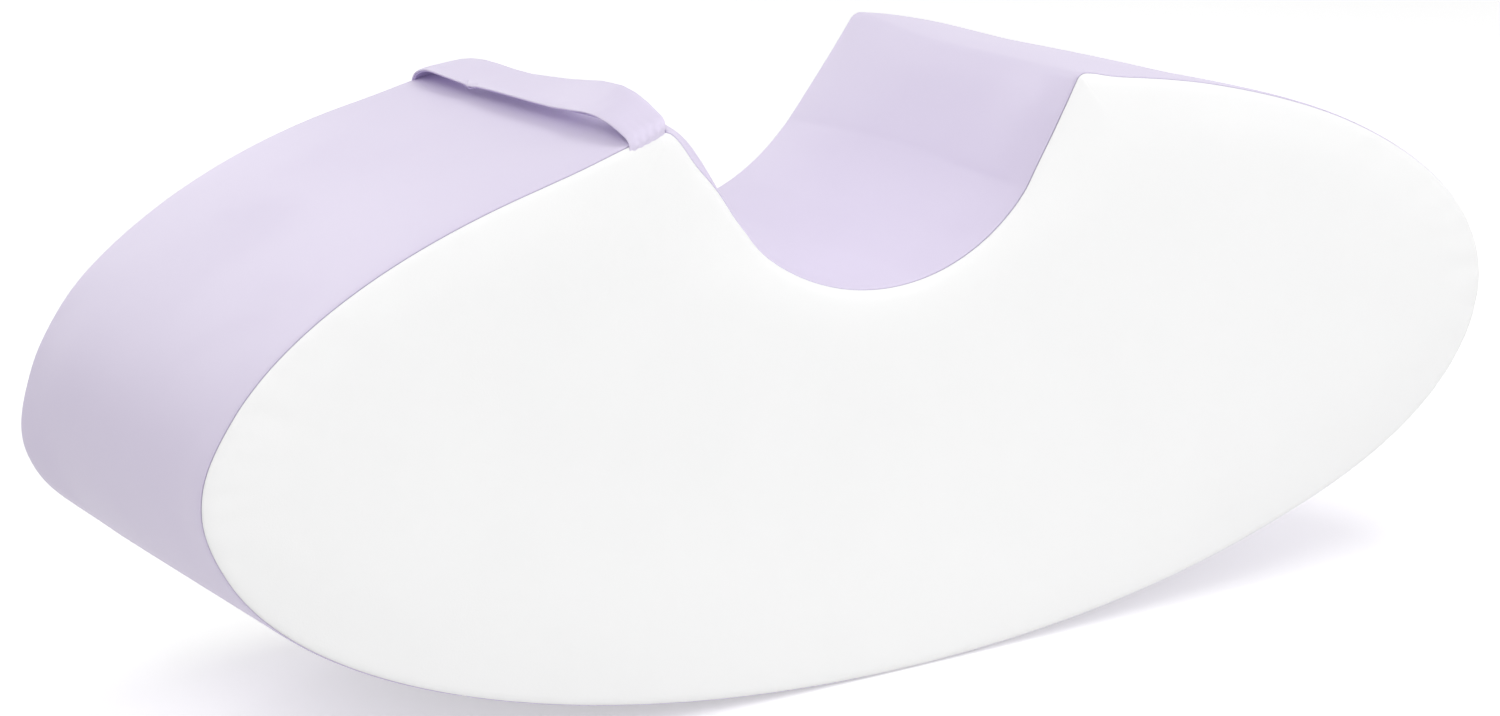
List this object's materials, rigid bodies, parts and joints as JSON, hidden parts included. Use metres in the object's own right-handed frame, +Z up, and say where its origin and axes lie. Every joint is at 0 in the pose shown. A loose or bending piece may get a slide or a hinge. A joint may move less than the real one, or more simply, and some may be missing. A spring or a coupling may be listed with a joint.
{
  "type": "foam rocker",
  "caption": "Elliptical foam rocker with a saddle cut into its top, in a sewn faux-leather cover with a carrying strap beside the saddle and a zip along the foot of its back.",
  "frame": {"origin": "on the floor, under the middle of the part's bounding box", "axes": "+Z up, +X along the rocker's length towards the end away from the strap, +Y across it towards the side panel with the zip"},
  "size_m": [0.9, 0.3076, 0.3706],
  "materials": {
    "white_leather": "satin",
    "lavender_leather": "satin",
    "foam": "matte",
    "zip_tape": "matte",
    "zip_plastic": "satin",
    "nickel": "satin"
  },
  "bodies": {
    "cover": {"foam_core": "foam", "front_side_panel": "white_leather", "back_side_panel": "white_leather", "base_panel": "lavender_leather", "seat_and_right_end_band": "lavender_leather", "left_end_band": "lavender_leather", "handle_strap": "lavender_leather", "handle_strap_lining": "lavender_leather", "zip_tape_upper": "zip_tape", "zip_tape_lower": "zip_tape", "zip_teeth_upper": "zip_plastic", "zip_teeth_lower": "zip_plastic", "zip_top_stop_upper": "nickel", "zip_top_stop_lower": "nickel", "zip_bottom_stop": "nickel"},
    "slider": {"zip_slider": "nickel"},
    "pull_tab": {"zip_pull_tab": "nickel"}
  },
  "joints": [
    {"name": "zip_slide", "type": "hinge", "parent": "cover", "child": "slider", "pos_m": [0, 0.1482, 1.0724], "axis": [0, 1, 0], "range_deg": [0, 21.58], "deforming": ["zip_teeth_upper", "zip_teeth_lower"]},
    {"name": "pull_tab_swing", "type": "hinge", "parent": "slider", "child": "pull_tab", "pos_m": [0.20075, 0.1523, 0.04595], "axis": [0.1919, 0, -0.9814], "range_deg": [0, 180]}
  ]
}
